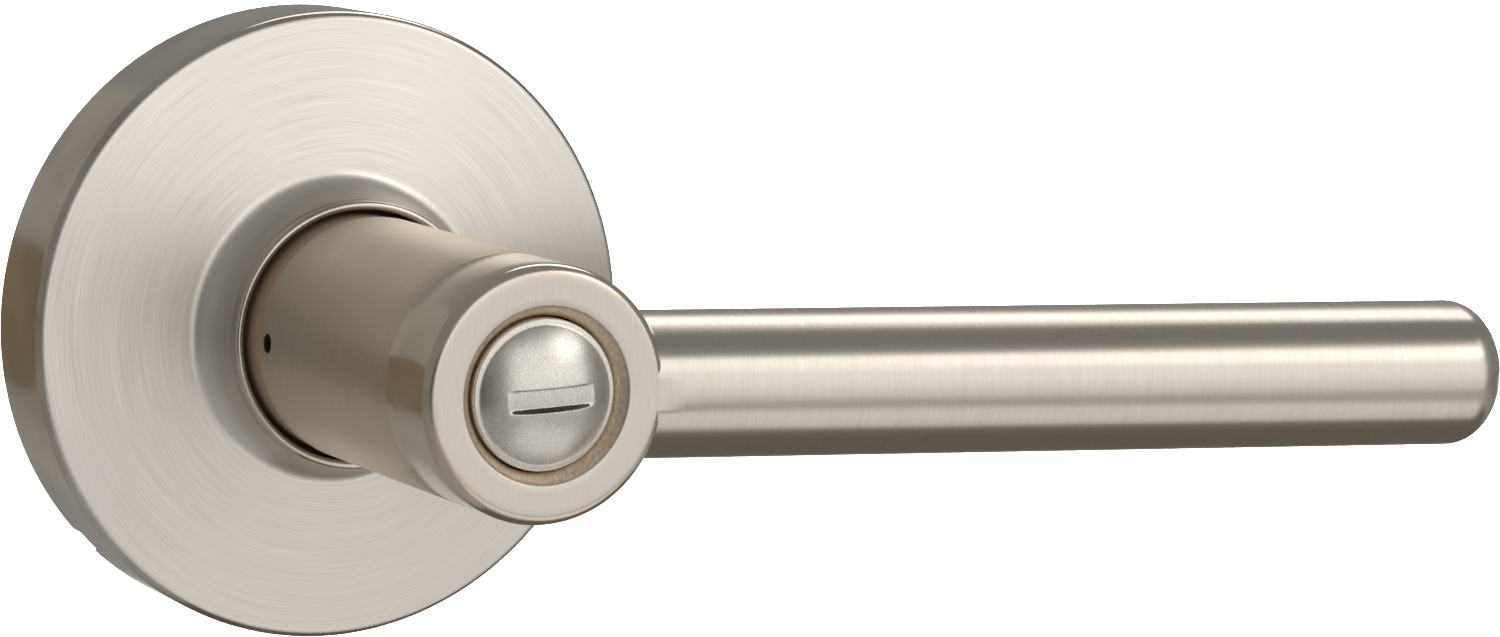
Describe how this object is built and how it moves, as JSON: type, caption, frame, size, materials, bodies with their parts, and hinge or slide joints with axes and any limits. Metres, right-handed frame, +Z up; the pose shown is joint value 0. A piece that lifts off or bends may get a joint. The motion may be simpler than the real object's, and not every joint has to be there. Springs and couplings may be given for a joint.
{
  "type": "door lever handle",
  "caption": "Satin nickel door lever handle with a round rose, a straight round bar and a slotted push-and-turn privacy button in the hub, inside half of a tubular set.",
  "frame": {"origin": "centre of the rose's back plane, on the spindle axis", "axes": "+X along the lever bar, -Y out of the door towards the user, +Z up"},
  "size_m": [0.1452, 0.105, 0.066],
  "materials": {
    "satin_nickel": "satin nickel plate, circular brushing on the rose and hub, cross brushing on the bar",
    "blasted_nickel": "bead-blasted satin nickel",
    "plated_steel": "zinc-plated pressed steel",
    "cast_zinc": "as-cast zinc alloy",
    "spring_steel": "oiled spring steel",
    "black_nylon": "moulded black nylon",
    "white_nylon": "moulded natural nylon"
  },
  "bodies": {
    "root": {"rose_cover": "satin_nickel", "mounting_plate": "plated_steel", "spring_cage": "plated_steel", "bearing_sleeve": "white_nylon", "collar_bushing": "black_nylon", "return_spring": "spring_steel", "mounting_screw_left": "plated_steel", "mounting_screw_right": "plated_steel", "cage_rivet_bottom": "plated_steel", "cage_rivet_top": "plated_steel", "rose_clip_1": "spring_steel", "rose_clip_2": "spring_steel", "rose_clip_3": "spring_steel"},
    "lever": {"lever_body": "satin_nickel", "drive_tube": "plated_steel", "spring_driver": "plated_steel", "thrust_washer": "plated_steel", "retaining_ring": "spring_steel", "spindle_plug": "cast_zinc", "spindle": "plated_steel", "stem_guide": "white_nylon", "catch_spring": "spring_steel", "button_spring": "spring_steel"},
    "catch": {"lever_catch": "plated_steel"},
    "plunger": {"spring_seat": "white_nylon"},
    "button": {"button_head": "blasted_nickel", "button_stem": "plated_steel", "stem_clip": "spring_steel", "turn_bar": "plated_steel"}
  },
  "joints": [
    {"name": "lever_turn", "type": "hinge", "parent": "root", "child": "lever", "pos_m": [0, 0, 0], "axis": [0, 1, 0], "range_deg": [-50, 50], "stiffness_Nm_per_rad": 1.1, "springref_deg": -4.47, "deforming": ["return_spring"]},
    {"name": "catch_slide", "type": "slide", "parent": "lever", "child": "catch", "axis": [1, 0, 0], "range_m": [0, 0.0015], "stiffness_N_per_m": 900, "springref_m": -0.0008, "deforming": ["catch_spring"]},
    {"name": "button_push", "type": "slide", "parent": "lever", "child": "plunger", "axis": [0, 1, 0], "range_m": [0, 0.003], "stiffness_N_per_m": 700, "springref_m": -0.002, "deforming": ["button_spring"]},
    {"name": "button_turn", "type": "hinge", "parent": "plunger", "child": "button", "pos_m": [0, 0, 0], "axis": [0, 1, 0], "range_deg": [0, 90]}
  ]
}
